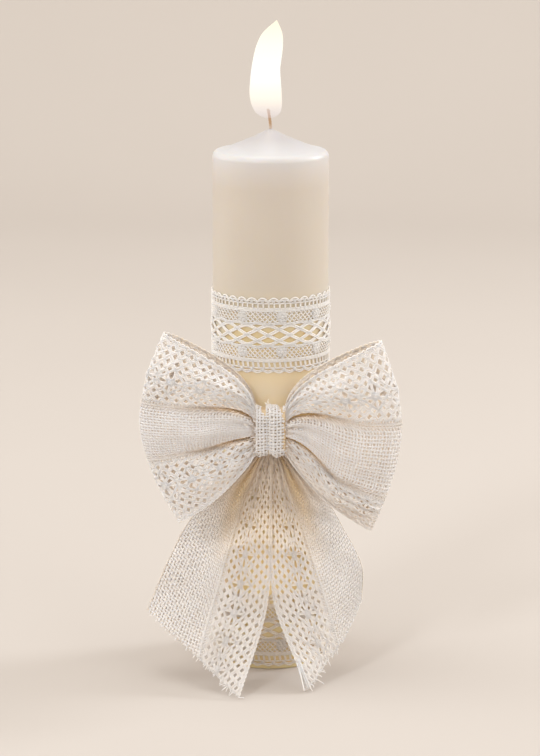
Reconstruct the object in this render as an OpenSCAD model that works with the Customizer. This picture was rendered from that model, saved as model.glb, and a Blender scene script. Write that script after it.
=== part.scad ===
// Decorated pillar candle: a wax pillar with its wick, two lace bands and a lace-edged ribbon bow
// whose two tails hang free to the surface that the candle stands on.
// Millimetres. The origin is the middle of the pillar's foot, +Z is up and the bow faces -Y.

/* [Candle] */
// Diameter of the wax pillar
candle_d = 60; // [50:1:80]
// Height of the pillar up to its shoulder
candle_h = 270; // [210:1:340]
// Height of the shallow crown above the shoulder
crown_h = 11; // [4:1:16]
// Radius of the rounded shoulder
shoulder_r = 3.5; // [1:0.5:6]
// Radius of the rounded foot
foot_r = 0.8; // [0.4:0.1:2]

/* [Wick and flame] */
// Diameter of the braided wick
wick_d = 1.8; // [1.4:0.1:2.6]
// Length of bare wick above the crown
wick_out = 10; // [6:1:16]
// Height of wax left under the wick's foot plate
plate_z = 5; // [3:1:12]
// Diameter of the wick's foot plate
plate_d = 14; // [10:1:20]
// Thickness of the wick's foot plate
plate_t = 0.4; // [0.3:0.1:0.8]
// Height of the collar that grips the wick
collar_h = 6; // [4:1:10]
// Wall of that collar
collar_t = 0.5; // [0.4:0.1:0.8]
// Height of the flame
flame_h = 50; // [30:1:60]
// Greatest width of the flame
flame_d = 16.4; // [10:0.2:20]
// Length of wick inside the flame
flame_on_wick = 5; // [3:1:6]

/* [Lace bands] */
// Height of each lace band
band_h = 40; // [25:1:50]
// Thickness of the lace
band_t = 0.8; // [0.5:0.1:1.2]
// Height of the upper band's lower edge
upper_band_z = 158.5; // [150:0.5:165]
// Height of the lower band's lower edge
lower_band_z = 1.5; // [1:0.5:6]
// Length by which each band overlaps itself at the back
lap = 12; // [8:1:20]
// Width of the adhesive strip inside the overlap
tape_w = 10; // [5:1:12]
// Thickness of the adhesive strip
tape_t = 0.3; // [0.2:0.1:0.5]

/* [Ribbon] */
// Width of each lace edging of the ribbon
lace_w = 36; // [28:1:44]
// Width of the woven linen between them
linen_w = 34; // [26:1:42]
// Thickness of the ribbon
ribbon_t = 1; // [0.8:0.1:1.4]

/* [Bow] */
// Height of the knot's middle
knot_z = 131; // [125:1:138]
// Length of the knot along the bow
knot_w = 15; // [12:1:20]
// Height of the knot
knot_h = 26; // [22:1:32]
// Depth of the knot from front to back
knot_depth = 17; // [14:1:22]
// Thickness of the strip wrapped round the knot
wrap_t = 1.2; // [0.8:0.1:1.6]
// Width of the thread that binds the gathers
thread_w = 2; // [1:0.5:4]
// Thickness of the binding thread
thread_t = 0.8; // [0.5:0.1:1.2]
// Thickness of the glue pad between the knot and the wax
pad_t = 1.5; // [1:0.1:3]
// Diameter of the glue pad
pad_d = 12; // [8:1:14]
// Reach of each loop from the middle of the knot
loop_reach = 66; // [55:1:76]
// Half of each loop's depth from front to back
loop_half_depth = 13; // [9:0.5:16]
// Distance by which the loops stand forward of the knot
loop_lean = 7; // [5:0.5:12]

/* [Tails] */
// Gap between the two tails where they hang side by side
tail_gap = 1.2; // [0.8:0.1:3]
// Gap between the knot and the top of the tails
tail_drop = 0.4; // [0.3:0.1:1]
// Radius of the fold along each tail's outer edge
fold_r = 1.5; // [1.2:0.1:2]

/* [Hidden] */

eps = 0.01;
candle_r = candle_d / 2;
crown_top = candle_h + crown_h;
wick_top = crown_top + wick_out;
flame_z = wick_top - flame_on_wick;

ribbon_w = 2 * lace_w + linen_w;
lace_share = lace_w / ribbon_w;
knot_y = -(candle_r + pad_t + knot_depth / 2);
core_h = knot_h - 2 * wrap_t;
core_depth = knot_depth - 2 * wrap_t;
core_r = 5;
knot_r = core_r + wrap_t;

// Gathered height and half-depth of the ribbon where a loop leaves the knot
root_h = core_h - core_r;
root_half_depth = core_depth / 2 - ribbon_t;
fold_depth = 3;
loop_steps = 24;
strip_steps = 5;

// The tails hang from the underside of the knot. s runs down each tail and w across it, from the
// lace's free edge to the folded edge of the linen.
tail_root_z = knot_z - knot_h / 2 - tail_drop;
seam_w = lace_w / (lace_w + linen_w);
tail_steps = 18;

// Each row of a tail is five points across it: [distance out from the middle of the bow, distance
// in front of the wax there, share of the height of the knot's underside]. The rows are drawn for a
// ribbon whose linen and lace are drawn_w wide together.
drawn_w = 70;
left_tail_rows = [
    [[0, 4, 1], [1.6, 4, 1], [3.2, 4.2, 1], [4.8, 4.4, 1], [6.4, 4.7, 1]],
    [[0, 4.5, 0.82], [6, 5, 0.82], [12, 6, 0.815], [20, 5.6, 0.81], [29, 15, 0.8]],
    [[0, 6, 0.64], [9, 7.4, 0.65], [17.5, 9.6, 0.66], [27, 14, 0.65], [44, 18, 0.62]],
    [[1, 16, 0.33], [14, 20.5, 0.36], [27.5, 34, 0.38], [38, 34, 0.42], [54, 22, 0.45]],
    [[15, 54, 0.012], [25.5, 55, 0.07], [36, 62, 0.135], [50, 48.5, 0.21], [63, 35, 0.286]]
];
right_tail_rows = [
    [[0, 4, 1], [1.6, 4, 1], [3.2, 4.2, 1], [4.8, 4.4, 1], [6.4, 4.7, 1]],
    [[0, 4.5, 0.82], [5.5, 5, 0.82], [10.5, 6, 0.8], [18, 4.5, 0.8], [26, 8, 0.79]],
    [[0, 6, 0.64], [8.5, 7.7, 0.65], [16, 8.6, 0.65], [25, 10.5, 0.66], [37, 16, 0.62]],
    [[1, 14, 0.34], [13, 17, 0.38], [25.5, 26, 0.4], [36, 31, 0.43], [46.5, 21, 0.46]],
    [[18, 44, 0.012], [26, 42, 0.075], [34.5, 46, 0.15], [41, 34, 0.21], [47, 24, 0.3]]
];

// ---- Curves and sheets ----

function unit(v) = v / norm(v);
function smooth(x) = let (t = min(max(x, 0), 1)) t * t * (3 - 2 * t);

// Item i of a list, continued in a straight line past either end
function item(list, i) =
    i < 0 ? 2 * list[0] - list[1] :
    i >= len(list) ? 2 * list[len(list) - 1] - list[len(list) - 2] : list[i];

// Point at share u along a smooth curve through every point of a list
function spline(list, u) =
    let (
        spans = len(list) - 1,
        k = min(floor(u * spans), spans - 1),
        t = u * spans - k,
        a = item(list, k - 1),
        b = item(list, k),
        c = item(list, k + 1),
        d = item(list, k + 2)
    )
    b + t / 2 * ((c - a) + t * ((2 * a - 5 * b + 4 * c - d) + t * (3 * b - a - 3 * c + d)));

// Unit normal of the surface at (u, v), from points a short step to either side
function normal(skin, u, v) =
    let (
        step = 0.004,
        across = skin(min(u + step, 1), v) - skin(max(u - step, 0), v),
        along = skin(u, min(v + step, 1)) - skin(u, max(v - step, 0))
    )
    unit(cross(across, along));

// Closed sheet of the ribbon's thickness along the part of a surface between v0 and v1, on the left
// (way -1) or the right (way 1). It keeps at least inner_x from the middle of the bow.
module sheet(skin, v0, v1, rows, way, inner_x) {
    cols = strip_steps;
    function side(face) = [
        for (i = [0 : rows], j = [0 : cols])
            let (
                u = i / rows,
                v = v0 + (v1 - v0) * j / cols,
                p = skin(u, v) + face * ribbon_t / 2 * normal(skin, u, v)
            )
            [way * max(way * p.x, inner_x), p.y, p.z]
    ];
    count = (rows + 1) * (cols + 1);
    function front(i, j) = i * (cols + 1) + j;
    function back(i, j) = count + front(i, j);
    faces = concat(
        [for (i = [0 : rows - 1], j = [0 : cols - 1]) each [
            [front(i, j), front(i, j + 1), front(i + 1, j + 1)],
            [front(i, j), front(i + 1, j + 1), front(i + 1, j)],
            [back(i, j), back(i + 1, j + 1), back(i, j + 1)],
            [back(i, j), back(i + 1, j), back(i + 1, j + 1)]]],
        [for (i = [0 : rows - 1]) each [
            [front(i, 0), front(i + 1, 0), back(i + 1, 0)],
            [front(i, 0), back(i + 1, 0), back(i, 0)],
            [front(i, cols), back(i + 1, cols), front(i + 1, cols)],
            [front(i, cols), back(i, cols), back(i + 1, cols)]]],
        [for (j = [0 : cols - 1]) each [
            [front(0, j), back(0, j + 1), front(0, j + 1)],
            [front(0, j), back(0, j), back(0, j + 1)],
            [front(rows, j), front(rows, j + 1), back(rows, j + 1)],
            [front(rows, j), back(rows, j + 1), back(rows, j)]]]
    );
    polyhedron(concat(side(1), side(-1)), faces);
}

// ---- Ribbon surfaces ----

// A loop leaves the front of the knot, turns at its outer end and comes back behind. t runs from
// the front root to the back root and v from the lower edge to the upper one. rise and drop are its
// heights above and below the knot's middle, low_cut and high_cut the distances by which its lower
// and upper corners fall short of its reach, and low_slip and high_slip the shares of its height
// by which the seams along the linen have slipped down at its outer end.
function loop_skin(way, rise, drop, low_cut, high_cut, low_slip, high_slip) =
    function (t, v)
        let (
            out = sin(180 * t),
            low_seam = lace_share - low_slip * smooth(out / 0.55),
            high_seam = 1 - lace_share - high_slip * smooth(out / 0.75),
            level = lookup(v, [[0, 0], [lace_share, low_seam], [1 - lace_share, high_seam], [1, 1]]),
            middle = 0.54,
            reach = loop_reach - (level < middle ? low_cut * pow(1 - level / middle, 1.7)
                : high_cut * pow((level - middle) / (1 - middle), 1.7)),
            top = root_h / 2 + (rise - root_h / 2) * pow(out, 0.5),
            bottom = root_h / 2 + (drop - root_h / 2) * pow(out, 0.7),
            opened = smooth(out / 0.6),
            half = root_half_depth + (loop_half_depth - root_half_depth) * opened,
            crease = fold_depth * opened * (1 - opened * out) * 2 * cos(1080 * (v - 0.5)),
            root_x = knot_w / 2
        )
        [way * (root_x + (reach - root_x) * out),
            knot_y - loop_lean * opened - cos(180 * t) * (half + crease),
            knot_z - bottom + (top + bottom) * level];

left_loop = loop_skin(-1, ribbon_w * 0.5, ribbon_w * 0.44, 20, 13, 0, 0.03);
right_loop = loop_skin(1, ribbon_w * 0.46, ribbon_w * 0.48, 15, 11, 0.18, 0.1);

function tail_point(way, p) =
    let (
        size = (lace_w + linen_w) / drawn_w,
        wax = sqrt(max(candle_r * candle_r - pow(p.x * size, 2), 0))
    )
    [way * (tail_gap / 2 + p.x * size), -(wax + p.y * size), p.z * tail_root_z];

function tail_skin(way, rows) =
    let (placed = [for (row = rows) [for (p = row) tail_point(way, p)]])
    function (s, w) spline([for (row = placed) spline(row, w)], s);

left_tail = tail_skin(-1, left_tail_rows);
right_tail = tail_skin(1, right_tail_rows);

// The ribbon's second lace edging is folded behind the linen. q runs round the fold, up to
// fold_share, and then inwards behind the linen.
fold_share = 0.2;
back_reach = 0.42;
function folded_skin(way, front) =
    function (s, q)
        let (
            turn = min(q / fold_share, 1) * 180,
            inward = max(q - fold_share, 0) / (1 - fold_share) * back_reach,
            r = fold_r * (0.6 + 0.4 * s),
            p = front(s, 1 - inward),
            behind = -way * normal(front, s, 1 - inward),
            outward = unit(front(s, 1) - front(s, 0.99))
        )
        p + outward * r * sin(turn) + behind * r * (1 - cos(turn));

left_fold = folded_skin(-1, left_tail);
right_fold = folded_skin(1, right_tail);

// ---- Profiles ----

module rounded_rectangle(w, h, r) {
    square([w - 2 * r, h], center = true);
    square([w, h - 2 * r], center = true);
    for (x = [-1, 1], y = [-1, 1])
        translate([x * (w / 2 - r), y * (h / 2 - r)]) circle(r, $fn = 48);
}

// Bar or ring along X at the knot, from an outline whose first side is the depth
module knot_bar(length) {
    translate([0, knot_y, knot_z]) rotate([90, 0, 90])
        linear_extrude(length, center = true) children();
}

// Half-outline of the pillar: rounded foot, straight wall, rounded shoulder and hollow-sided crown
module pillar_outline() {
    crown_r = candle_r - shoulder_r;
    polygon(concat(
        [[0, 0]],
        [for (a = [0 : 15 : 90]) [candle_r - foot_r * (1 - sin(a)), foot_r * (1 - cos(a))]],
        [for (a = [0 : 10 : 90])
            [crown_r + shoulder_r * cos(a), candle_h - shoulder_r * (1 - sin(a))]],
        [for (k = [1 : 12]) [crown_r * (1 - k / 12), candle_h + crown_h * pow(k / 12, 1.2)]]
    ));
}

// Leaning flame, built from level rings. Each row, evenly up the flame, is [sideways drift, radius]
// as shares of half of its greatest width.
flame_rows = [[0, 0.19], [-0.23, 0.93], [-0.31, 1], [-0.32, 0.96], [-0.3, 0.9], [-0.19, 0.88],
    [-0.05, 0.82], [0.12, 0.6], [0.38, 0.02]];
flame_steps = 24;
flame_sides = 32;

function flame_ring(share) =
    let (row = spline(flame_rows, share) * flame_d / 2)
    [for (i = [0 : flame_sides - 1])
        let (a = 360 * i / flame_sides)
        [row[0] + row[1] * cos(a), row[1] * sin(a), flame_z + flame_h * share]];

module flame_shape() {
    function corner(k, i) = k * flame_sides + i % flame_sides;
    polyhedron(
        [for (k = [0 : flame_steps]) each flame_ring(k / flame_steps)],
        concat(
            [[for (i = [0 : flame_sides - 1]) corner(0, i)]],
            [for (k = [0 : flame_steps - 1], i = [0 : flame_sides - 1]) each [
                [corner(k, i), corner(k + 1, i), corner(k + 1, i + 1)],
                [corner(k, i), corner(k + 1, i + 1), corner(k, i + 1)]]],
            [[for (i = [flame_sides - 1 : -1 : 0]) corner(flame_steps, i)]]
        )
    );
}

module tube_piece(inner, outer, z, h, from, angle) {
    rotate([0, 0, from]) rotate_extrude(angle = angle, $fn = 96)
        translate([inner, z]) square([outer - inner, h]);
}

// ---- Candle ----

module wick_column(from, to) {
    translate([0, 0, from]) cylinder(h = to - from, d = wick_d, $fn = 32);
}

module foot_plate_shape() {
    translate([0, 0, plate_z]) cylinder(h = plate_t, d = plate_d, $fn = 48);
    translate([0, 0, plate_z]) cylinder(h = plate_t + collar_h, d = wick_d + 2 * collar_t, $fn = 32);
}

module candle_body() {
    color("ivory") difference() {
        rotate_extrude($fn = 128) pillar_outline();
        wick_column(plate_z + plate_t / 2, crown_top + 1);
        foot_plate_shape();
    }
}

module wick() {
    color("tan") wick_column(plate_z + plate_t, wick_top);
}

module wick_foot_plate() {
    color("silver") difference() {
        foot_plate_shape();
        wick_column(plate_z + plate_t, wick_top);
    }
}

module flame() {
    color("lemonchiffon") difference() {
        flame_shape();
        wick_column(flame_z - 1, wick_top);
    }
}

// ---- Lace bands ----

lap_angle = lap / candle_r * 180 / PI;
tape_angle = min(tape_w, lap) / candle_r * 180 / PI;
step_angle = 2;

// A band goes once round the wax and then over its own end at the back
module lace_band(z) {
    outer = candle_r + band_t;
    color("linen") {
        tube_piece(candle_r, outer, z, band_h, 0, 360);
        tube_piece(outer + tape_t, outer + tape_t + band_t, z, band_h, 90 - lap_angle / 2, lap_angle);
        tube_piece(outer - eps, outer + tape_t + band_t, z, band_h, 90 + lap_angle / 2, step_angle);
    }
}

// Adhesive strip under the overlap, against the step in the band
module band_tape(z) {
    outer = candle_r + band_t;
    color("wheat")
        tube_piece(outer, outer + tape_t, z, band_h, 90 + lap_angle / 2 - tape_angle, tape_angle);
}

module upper_lace_band() {
    lace_band(upper_band_z);
}

module upper_band_tape() {
    band_tape(upper_band_z);
}

module lower_lace_band() {
    lace_band(lower_band_z);
}

module lower_band_tape() {
    band_tape(lower_band_z);
}

// ---- Knot ----

module bow_glue_pad() {
    color("wheat") difference() {
        translate([0, -candle_r + pad_t, knot_z]) rotate([90, 0, 0])
            cylinder(h = 2 * pad_t, d = pad_d, $fn = 48);
        cylinder(h = candle_h, r = candle_r, $fn = 128);
    }
}

module bow_gathered_centre() {
    color("antiquewhite") difference() {
        knot_bar(knot_w) rounded_rectangle(core_depth, core_h, core_r);
        thread_ring();
    }
}

module thread_ring() {
    knot_bar(thread_w) difference() {
        rounded_rectangle(core_depth, core_h, core_r);
        rounded_rectangle(core_depth - 2 * thread_t, core_h - 2 * thread_t, core_r - thread_t);
    }
}

module bow_binding_thread() {
    color("white") thread_ring();
}

module bow_knot_wrap() {
    color("linen") knot_bar(knot_w) difference() {
        rounded_rectangle(knot_depth, knot_h, knot_r);
        rounded_rectangle(core_depth, core_h, core_r);
    }
}

// ---- Loops ----

module loop_strip(skin, v0, v1, way) {
    sheet(skin, v0, v1, loop_steps, way, knot_w / 2);
}

module tail_strip(skin, w0, w1, way) {
    sheet(skin, w0, w1, tail_steps, way, tail_gap / 2);
}

module left_loop_upper_lace() {
    color("white") loop_strip(left_loop, 1 - lace_share, 1, -1);
}

module left_loop_linen() {
    color("linen") loop_strip(left_loop, lace_share, 1 - lace_share, -1);
}

module left_loop_lower_lace() {
    color("white") loop_strip(left_loop, 0, lace_share, -1);
}

module right_loop_upper_lace() {
    color("white") loop_strip(right_loop, 1 - lace_share, 1, 1);
}

module right_loop_linen() {
    color("linen") loop_strip(right_loop, lace_share, 1 - lace_share, 1);
}

module right_loop_lower_lace() {
    color("white") loop_strip(right_loop, 0, lace_share, 1);
}

// ---- Tails ----

module left_tail_lace() {
    color("white") tail_strip(left_tail, 0, seam_w, -1);
}

module left_tail_linen() {
    color("linen") tail_strip(left_tail, seam_w, 1, -1);
}

module left_tail_back_lace() {
    color("white") tail_strip(left_fold, 0, 1, -1);
}

module right_tail_lace() {
    color("white") tail_strip(right_tail, 0, seam_w, 1);
}

module right_tail_linen() {
    color("linen") tail_strip(right_tail, seam_w, 1, 1);
}

module right_tail_back_lace() {
    color("white") tail_strip(right_fold, 0, 1, 1);
}

candle_body();
wick();
wick_foot_plate();
flame();
upper_lace_band();
upper_band_tape();
lower_lace_band();
lower_band_tape();
bow_glue_pad();
bow_gathered_centre();
bow_binding_thread();
bow_knot_wrap();
left_loop_upper_lace();
left_loop_linen();
left_loop_lower_lace();
right_loop_upper_lace();
right_loop_linen();
right_loop_lower_lace();
left_tail_lace();
left_tail_linen();
left_tail_back_lace();
right_tail_lace();
right_tail_linen();
right_tail_back_lace();
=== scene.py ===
import math

import bpy
import numpy as np
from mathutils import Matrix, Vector


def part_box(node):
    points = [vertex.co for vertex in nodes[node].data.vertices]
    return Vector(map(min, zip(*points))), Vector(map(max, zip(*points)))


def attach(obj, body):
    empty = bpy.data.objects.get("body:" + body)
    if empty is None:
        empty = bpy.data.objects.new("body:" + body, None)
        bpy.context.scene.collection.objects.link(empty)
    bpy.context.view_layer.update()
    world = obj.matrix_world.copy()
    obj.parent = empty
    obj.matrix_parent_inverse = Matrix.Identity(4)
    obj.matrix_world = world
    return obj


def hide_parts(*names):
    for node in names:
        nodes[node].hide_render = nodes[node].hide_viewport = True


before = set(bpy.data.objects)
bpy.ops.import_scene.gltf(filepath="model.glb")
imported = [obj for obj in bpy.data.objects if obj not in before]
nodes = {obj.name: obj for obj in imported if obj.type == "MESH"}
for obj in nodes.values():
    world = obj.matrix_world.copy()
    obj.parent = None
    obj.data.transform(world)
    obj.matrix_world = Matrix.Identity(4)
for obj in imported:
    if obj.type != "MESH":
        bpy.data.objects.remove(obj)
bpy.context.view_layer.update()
scene = bpy.context.scene
TAU = 2 * math.pi


# ---- Camera ----

LENS = 132
DISTANCE = 1.45
ELEVATION = math.radians(12.5)
AIM = Vector((-0.0003, 0, 0.1496))


def make_camera():
    data = bpy.data.cameras.new("camera")
    data.sensor_width = 36
    data.lens = LENS
    data.clip_end = 30
    camera = bpy.data.objects.new("camera", data)
    scene.collection.objects.link(camera)
    camera.location = AIM + DISTANCE * Vector((0, -math.cos(ELEVATION), math.sin(ELEVATION)))
    camera.rotation_euler = (AIM - camera.location).to_track_quat("-Z", "Y").to_euler()
    scene.camera = camera


make_camera()
scene.view_settings.view_transform = "Standard"
scene.view_settings.look = "None"
scene.view_settings.gamma = 1.2


# ---- Sizes, in millimetres, from the CAD ----

def span(node):
    low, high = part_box(node)
    return np.array(low) * 1000, np.array(high) * 1000


candle_high = span("candle_body")[1]
candle_r = candle_high[0]
knot_low, knot_high = span("bow_knot_wrap")
knot_w = knot_high[0] - knot_low[0]
knot_h = knot_high[2] - knot_low[2]
knot_depth = knot_high[1] - knot_low[1]
knot_y = (knot_low[1] + knot_high[1]) / 2
knot_z = (knot_low[2] + knot_high[2]) / 2
core_low, core_high = span("bow_gathered_centre")
wrap_t = (knot_depth - (core_high[1] - core_low[1])) / 2
tail_root_z = span("left_tail_lace")[1][2]
tail_gap = -2 * span("left_tail_lace")[1][0]
loop_reach = span("right_loop_linen")[1][0]

# The ribbon is lace, linen and lace side by side. A tail shows one lace and the linen.
LACE_W = 36.0
LINEN_W = 34.0
RIBBON_W = 2 * LACE_W + LINEN_W
RIBBON_T = 1.0
LACE_SHARE = LACE_W / RIBBON_W
TAIL_SEAM = LACE_W / (LACE_W + LINEN_W)

# Shares of the ribbon's width where the loops' seams sink in, and where the cloth beside bulges.
SEAM_SLITS = (0.662, 0.342)
SEAM_LIPS = (0.595, 0.415)
LOOP_HALF_DEPTH = 13
LOOP_FORWARD = 7

BAND_LAP = 12
TABLE_CLEARANCE = 0.8
STEP = 0.004  # share of a surface between the two places that give a slope


# ---- Surfaces ----

def column(*parts):
    return np.stack(np.broadcast_arrays(*parts), axis=-1)


def unit(a):
    return a / np.maximum(np.linalg.norm(a, axis=-1, keepdims=True), 1e-9)


def smooth(x):
    t = np.clip(x, 0, 1)
    return t * t * (3 - 2 * t)


def bell(x, at, spread):
    return np.exp(-(((x - at) / spread) ** 2))


def bells(x, places, spread):
    return sum(bell(x, at, spread) for at in places)


def ripple(a, b, seed):
    """Slow wandering height, about -1 to 1, over two flat distances in millimetres."""
    rng = np.random.default_rng(seed)
    total = 0
    for _ in range(5):
        turn = rng.uniform(0, TAU)
        wave = rng.uniform(17, 38)
        along = a * math.cos(turn) + b * math.sin(turn)
        total = total + np.sin(along * TAU / wave + rng.uniform(0, TAU))
    return total / 3


def loop_point(way, rise, drop, low_cut, high_cut, low_slip, high_slip, ribs, seed):
    """Surface of a loop, at share t of the way round it and share v of the ribbon's width."""
    root_h = knot_h - 2 * wrap_t - 5
    root_depth = (knot_depth - 2 * wrap_t) / 2 - RIBBON_T
    middle = 0.54

    def point(t, v):
        out = np.sin(math.pi * np.clip(t, 0, 1))
        low_seam = LACE_SHARE - low_slip * smooth(out / 0.55)
        high_seam = 1 - LACE_SHARE - high_slip * smooth(out / 0.75)
        level = np.where(v < LACE_SHARE, v / LACE_SHARE * low_seam, np.where(
            v < 1 - LACE_SHARE,
            low_seam + (v - LACE_SHARE) / (1 - 2 * LACE_SHARE) * (high_seam - low_seam),
            high_seam + (v - 1 + LACE_SHARE) / LACE_SHARE * (1 - high_seam)))
        inner = np.clip(1 - level / middle, 0, 1) ** 1.7
        upper = np.clip((level - middle) / (1 - middle), 0, 1) ** 1.7
        reach = loop_reach - low_cut * inner - high_cut * upper
        top = root_h / 2 + (rise - root_h / 2) * out ** 0.5
        bottom = root_h / 2 + (drop - root_h / 2) * out ** 0.7
        opened = smooth(out / 0.6)
        half = root_depth + (LOOP_HALF_DEPTH - root_depth) * opened
        crease = 3 * opened * (1 - 0.75 * opened * out) * 2 * np.cos(3 * TAU * (v - 0.5))
        near = bell(out, 0, 0.42) * smooth(out / 0.05)
        pleat = near * 1.1 * np.cos(TAU * 8 * v + 1.3 * np.sin(TAU * 1.7 * v + seed))
        slit, lip = bells(v, SEAM_SLITS, 0.028), bells(v, SEAM_LIPS, 0.035)
        deep = smooth(out / 0.04) * bell(out, 0, 0.6) * (8.0 * slit - 2.0 * lip)
        rib = ribs * smooth((out - 0.2) / 0.4) * np.cos(TAU * 13 * v) * smooth((0.5 - v) / 0.16)
        sway = 0.8 * opened * ripple(out * 60 + 40 * t, v * 100, seed)
        root_x = knot_w / 2
        front = -np.cos(math.pi * t)
        return column(
            way * (root_x + (reach - root_x) * out),
            knot_y - LOOP_FORWARD * opened + front * (half + crease + pleat - deep + rib + sway),
            knot_z - bottom + (top + bottom) * level,
        )

    return point


def spline(rows, u):
    """Point at share u of a smooth curve through every row. rows is a list of arrays."""
    last = len(rows) - 1
    rows = [2 * rows[0] - rows[1], *rows, 2 * rows[-1] - rows[-2]]
    k = np.clip(np.floor(u * last).astype(int), 0, last - 1)
    t = (u * last - k)[..., None]
    a, b, c, d = (np.choose((k + i)[..., None], rows) for i in range(4))
    return b + t / 2 * ((c - a) + t * ((2 * a - 5 * b + 4 * c - d) + t * (3 * b - a - 3 * c + d)))


def tail_point(way, table, seed):
    """Surface of a tail, at share s of its length and share w of its width.

    Each row of table crosses the tail: distance from the middle, distance in front of the wax,
    and height as a share of the root's.
    """
    table = np.array(table, float)
    x = table[..., 0]
    wax = np.sqrt(candle_r ** 2 - np.minimum(x, candle_r) ** 2)
    placed = column(way * (tail_gap / 2 + x), -(wax + table[..., 1]), table[..., 2] * tail_root_z)

    def point(s, w):
        rows = [spline([np.broadcast_to(p, w.shape + (3,)) for p in row], w) for row in placed]
        p = spline(rows, s)
        early = bell(s, 0, 0.3) * smooth(s / 0.05)
        late = smooth(s / 0.5)
        shift = (early * 0.9 * np.cos(TAU * 6 * w + seed)
                 + 0.9 * late * ripple(s * 130, w * 70, seed))
        p = p + shift[..., None] * np.array([0.15 * way, -1, 0.1])
        meet = (1 - smooth((s - 0.58) / 0.14)) * np.clip(1 - w / 0.35, 0, 1.2)
        p[..., 0] = way * np.maximum(way * p[..., 0], tail_gap / 2) - way * 1.5 * meet
        p[..., 1] += way * 0.75 * meet
        return p

    return point


def fold_point(way, front):
    """Surface of the strip that turns back behind the outer edge of a tail."""

    def point(s, q):
        turn = np.minimum(q / 0.2, 1) * math.pi
        inward = np.maximum(q - 0.2, 0) / 0.8 * 0.42
        r = (1.5 * (0.6 + 0.4 * s))[..., None]
        p = front(s, 1 - inward)
        behind = -way * surface_normal(front, s, 1 - inward)
        outward = unit(front(s, np.ones_like(s)) - front(s, np.full_like(s, 0.99)))
        return (p + outward * r * np.sin(turn)[..., None]
                + behind * r * (1 - np.cos(turn))[..., None])

    return point


def surface_normal(point, t, v):
    along = point(np.minimum(t + STEP, 1), v) - point(np.maximum(t - STEP, 0), v)
    across = point(t, np.minimum(v + STEP, 1)) - point(t, np.maximum(v - STEP, 0))
    return unit(np.cross(along, across))


def between(table, a, b):
    """Table value at shares a and b of its rows and columns."""
    n, m = table.shape
    x, y = np.clip(a, 0, 1) * (n - 1), np.clip(b, 0, 1) * (m - 1)
    i, j = np.minimum(x.astype(int), n - 2), np.minimum(y.astype(int), m - 2)
    x, y = x - i, y - j
    return (table[i, j] * (1 - x) + table[i + 1, j] * x) * (1 - y) + (
        table[i, j + 1] * (1 - x) + table[i + 1, j + 1] * x) * y


class Cloth:
    """A strip lying along a surface.

    Places on it are flat millimetres: u along it, v across it and h above it.
    """

    def __init__(self, point, facing, width, first, last, square=True):
        self.point, self.facing, self.width = point, facing, width
        self.first, self.last = first, last
        t, v = np.linspace(0, 1, 241), np.linspace(0, 1, 41)
        grid_t, grid_v = np.meshgrid(t, self.share(v * width), indexing="ij")
        p = point(grid_t.ravel(), grid_v.ravel()).reshape(len(t), len(v), 3)
        steps = np.linalg.norm(np.diff(p, axis=0), axis=2)
        run = np.vstack([np.zeros((1, len(v))), np.cumsum(steps, axis=0)])
        self.columns = v
        self.lengths = run[-1] if square else np.full(len(v), run[-1].mean())
        self.length = float(self.lengths.max())
        self.table = np.stack(
            [np.interp(t, run[:, j] / run[-1, j], t) for j in range(len(v))], axis=1)

    def share(self, v):
        return self.first + (self.last - self.first) * v / self.width

    def end(self, v):
        return np.interp(v / self.width, self.columns, self.lengths)

    def place(self, u, v):
        a = u / self.end(v)
        t = between(self.table, a, v / self.width) + np.maximum(a - 1, 0)
        s = self.share(v)
        inside_t, inside_s = np.clip(t, STEP, 1 - STEP), np.clip(s, STEP, 1 - STEP)
        along = self.point(inside_t + STEP, s) - self.point(inside_t - STEP, s)
        across = self.point(t, inside_s + STEP) - self.point(t, inside_s - STEP)
        full = self.width / abs(self.last - self.first)
        squeeze = np.linalg.norm(across, axis=1) / (2 * STEP * full)
        normal = self.facing * unit(np.cross(along, across))
        return self.point(t, s), normal, np.clip(squeeze, 0.3, 1)


class Ring:
    """A strip wrapped round an upright pillar, starting at the back. It laps over its own start."""

    def __init__(self, radius, low, lap_from):
        self.radius, self.low, self.lap_from = radius, low, lap_from

    def place(self, u, v):
        lift = smooth((u - self.lap_from) / 3) * 1.1
        angle = math.pi / 2 - BAND_LAP / 2 / self.radius + u / self.radius
        normal = column(np.cos(angle), np.sin(angle), 0 * angle)
        p = normal * (self.radius + lift)[:, None]
        p[:, 2] = self.low + v
        return p, normal, np.ones(len(u))


class Space:
    """Threads given as places in space: u is x, v is z and h is how far in front of the axis."""

    def place(self, u, v):
        p = column(u, 0 * u, v)
        return p, np.tile([0.0, -1.0, 0.0], (len(u), 1)), np.ones(len(u))


class WickLine:
    """The wick's own line, which leans to the left above the crown. u is the height."""

    def __init__(self, crown, top):
        self.crown, self.top = crown, top

    def place(self, u, v):
        share = np.clip((u - self.crown) / (self.top - self.crown), 0, 1)
        p = column(-1.3 * share ** 1.5 + v, 0 * u, u)
        return p, np.tile([0.0, -1.0, 0.0], (len(u), 1)), np.ones(len(u))


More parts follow.
